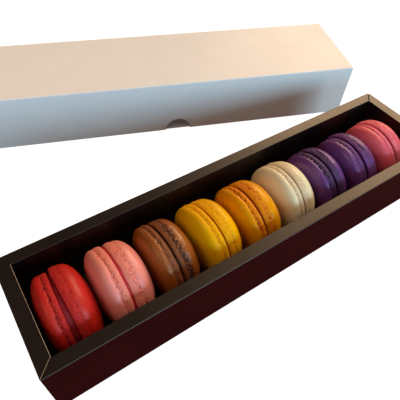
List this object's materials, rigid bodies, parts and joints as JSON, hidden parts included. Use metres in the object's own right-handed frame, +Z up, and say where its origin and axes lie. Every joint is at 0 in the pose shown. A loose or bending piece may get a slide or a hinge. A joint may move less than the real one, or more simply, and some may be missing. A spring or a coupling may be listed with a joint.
{
  "type": "macaron box",
  "caption": "Long dark card tray holding a row of coloured macarons on edge, with its white lift-off lid lying open side down behind it.",
  "frame": {"origin": "middle of the tray's underside, on the surface that the tray and the lid stand on", "axes": "+X along the tray, from the red macaron's end to the rose macaron's end; +Y across it, towards the lid; +Z up"},
  "size_m": [0.3191, 0.2656, 0.0477],
  "materials": {
    "tray_card": "smooth dark chocolate-brown laminated card with a satin sheen, raw board at the cut edges",
    "lid_card": "white coated card, satin",
    "shell_red": "baked almond meringue, red, smooth satin dome over a rough porous foot",
    "filling_red": "soft dark red cream",
    "shell_pink": "baked almond meringue, salmon pink, smooth satin dome over a rough porous foot",
    "filling_pink": "glossy red jam",
    "shell_brown": "baked almond meringue, caramel brown, smooth satin dome over a rough porous foot",
    "filling_brown": "dark chocolate cream",
    "shell_yellow": "baked almond meringue, lemon yellow, smooth satin dome over a rough porous foot",
    "filling_yellow": "yellow cream",
    "shell_orange": "baked almond meringue, apricot orange, smooth satin dome over a rough porous foot",
    "filling_orange": "orange cream",
    "shell_cream": "baked almond meringue, cream, smooth satin dome over a rough porous foot",
    "filling_cream": "caramel-coloured cream",
    "shell_violet": "baked almond meringue, dark violet, smooth satin dome over a rough porous foot",
    "filling_violet": "very dark violet cream",
    "shell_rose": "baked almond meringue, rose pink, smooth satin dome over a rough porous foot",
    "filling_rose": "rose cream"
  },
  "bodies": {
    "root": {"tray": "tray_card", "lid": "lid_card", "macaron_1_red_shell_a": "shell_red", "macaron_1_red_shell_b": "shell_red", "macaron_1_red_filling": "filling_red", "macaron_2_pink_shell_a": "shell_pink", "macaron_2_pink_shell_b": "shell_pink", "macaron_2_pink_filling": "filling_pink", "macaron_3_brown_shell_a": "shell_brown", "macaron_3_brown_shell_b": "shell_brown", "macaron_3_brown_filling": "filling_brown", "macaron_4_yellow_shell_a": "shell_yellow", "macaron_4_yellow_shell_b": "shell_yellow", "macaron_4_yellow_filling": "filling_yellow", "macaron_5_orange_shell_a": "shell_orange", "macaron_5_orange_shell_b": "shell_orange", "macaron_5_orange_filling": "filling_orange", "macaron_6_cream_shell_a": "shell_cream", "macaron_6_cream_shell_b": "shell_cream", "macaron_6_cream_filling": "filling_cream", "macaron_7_violet_a_shell_a": "shell_violet", "macaron_7_violet_a_shell_b": "shell_violet", "macaron_7_violet_a_filling": "filling_violet", "macaron_8_violet_b_shell_a": "shell_violet", "macaron_8_violet_b_shell_b": "shell_violet", "macaron_8_violet_b_filling": "filling_violet", "macaron_9_rose_shell_a": "shell_rose", "macaron_9_rose_shell_b": "shell_rose", "macaron_9_rose_filling": "filling_rose"}
  },
  "joints": []
}
